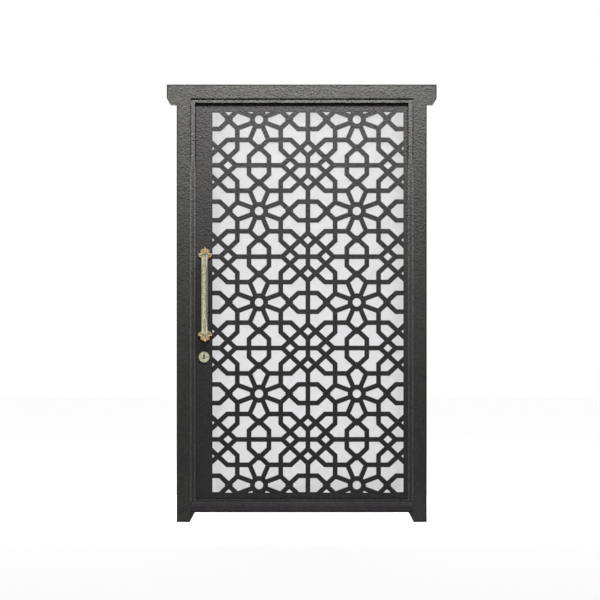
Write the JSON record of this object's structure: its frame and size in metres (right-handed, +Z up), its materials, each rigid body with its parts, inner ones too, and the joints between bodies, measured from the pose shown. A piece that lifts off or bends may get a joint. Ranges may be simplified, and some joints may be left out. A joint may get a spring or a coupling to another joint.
{
  "type": "laser-cut steel entrance door in its frame",
  "caption": "Steel entrance door: a laser-cut star lattice over a pale sheet, hung in a frame with horned header, with a long ornate pull and a keyhole rose.",
  "frame": {"origin": "on the outer side face of the hinge jamb, at floor level and at the frame's mid depth", "axes": "+X from the lock side to the hinge side as seen from the front, out of the hinge jamb's side; +Y inward, away from the front; +Z up"},
  "size_m": [1.3162, 0.121, 2.1336],
  "materials": {
    "hammer_paint": "black hammer-tone paint, semi-gloss",
    "opal_sheet": "frosted translucent sheet",
    "brass": "cast brass, polished on its high places",
    "plated_steel": "zinc plated"
  },
  "bodies": {
    "frame": {"header": "hammer_paint", "lock_jamb": "hammer_paint", "hinge_jamb": "hammer_paint", "lock_side_gusset": "hammer_paint", "hinge_side_gusset": "hammer_paint", "sill_rail": "hammer_paint", "stop_bottom": "hammer_paint", "stop_hinge_side": "hammer_paint", "stop_top": "hammer_paint", "stop_lock_side": "hammer_paint", "strike_plate": "plated_steel", "hinge_1_frame_half": "hammer_paint", "hinge_2_frame_half": "hammer_paint", "hinge_3_frame_half": "hammer_paint"},
    "leaf": {"laser_cut_panel": "hammer_paint", "lock_stile": "hammer_paint", "hinge_stile": "hammer_paint", "top_rail": "hammer_paint", "bottom_rail": "hammer_paint", "backing_sheet": "opal_sheet", "bead_bottom": "hammer_paint", "bead_hinge_side": "hammer_paint", "bead_top": "hammer_paint", "bead_lock_side": "hammer_paint", "hinge_1_leaf_half": "hammer_paint", "hinge_2_leaf_half": "hammer_paint", "hinge_3_leaf_half": "hammer_paint", "lock_faceplate": "plated_steel", "lock_case": "plated_steel", "lock_bolt": "plated_steel", "front_rose": "brass", "back_rose": "brass", "handle_upper_ornament": "brass", "handle_lower_ornament": "brass", "handle_grip": "brass"}
  },
  "joints": [
    {"name": "leaf_hinge", "type": "hinge", "parent": "frame", "child": "leaf", "pos_m": [-0.073, 0.044, 1], "axis": [0, 0, -1], "range_deg": [0, 90]}
  ]
}
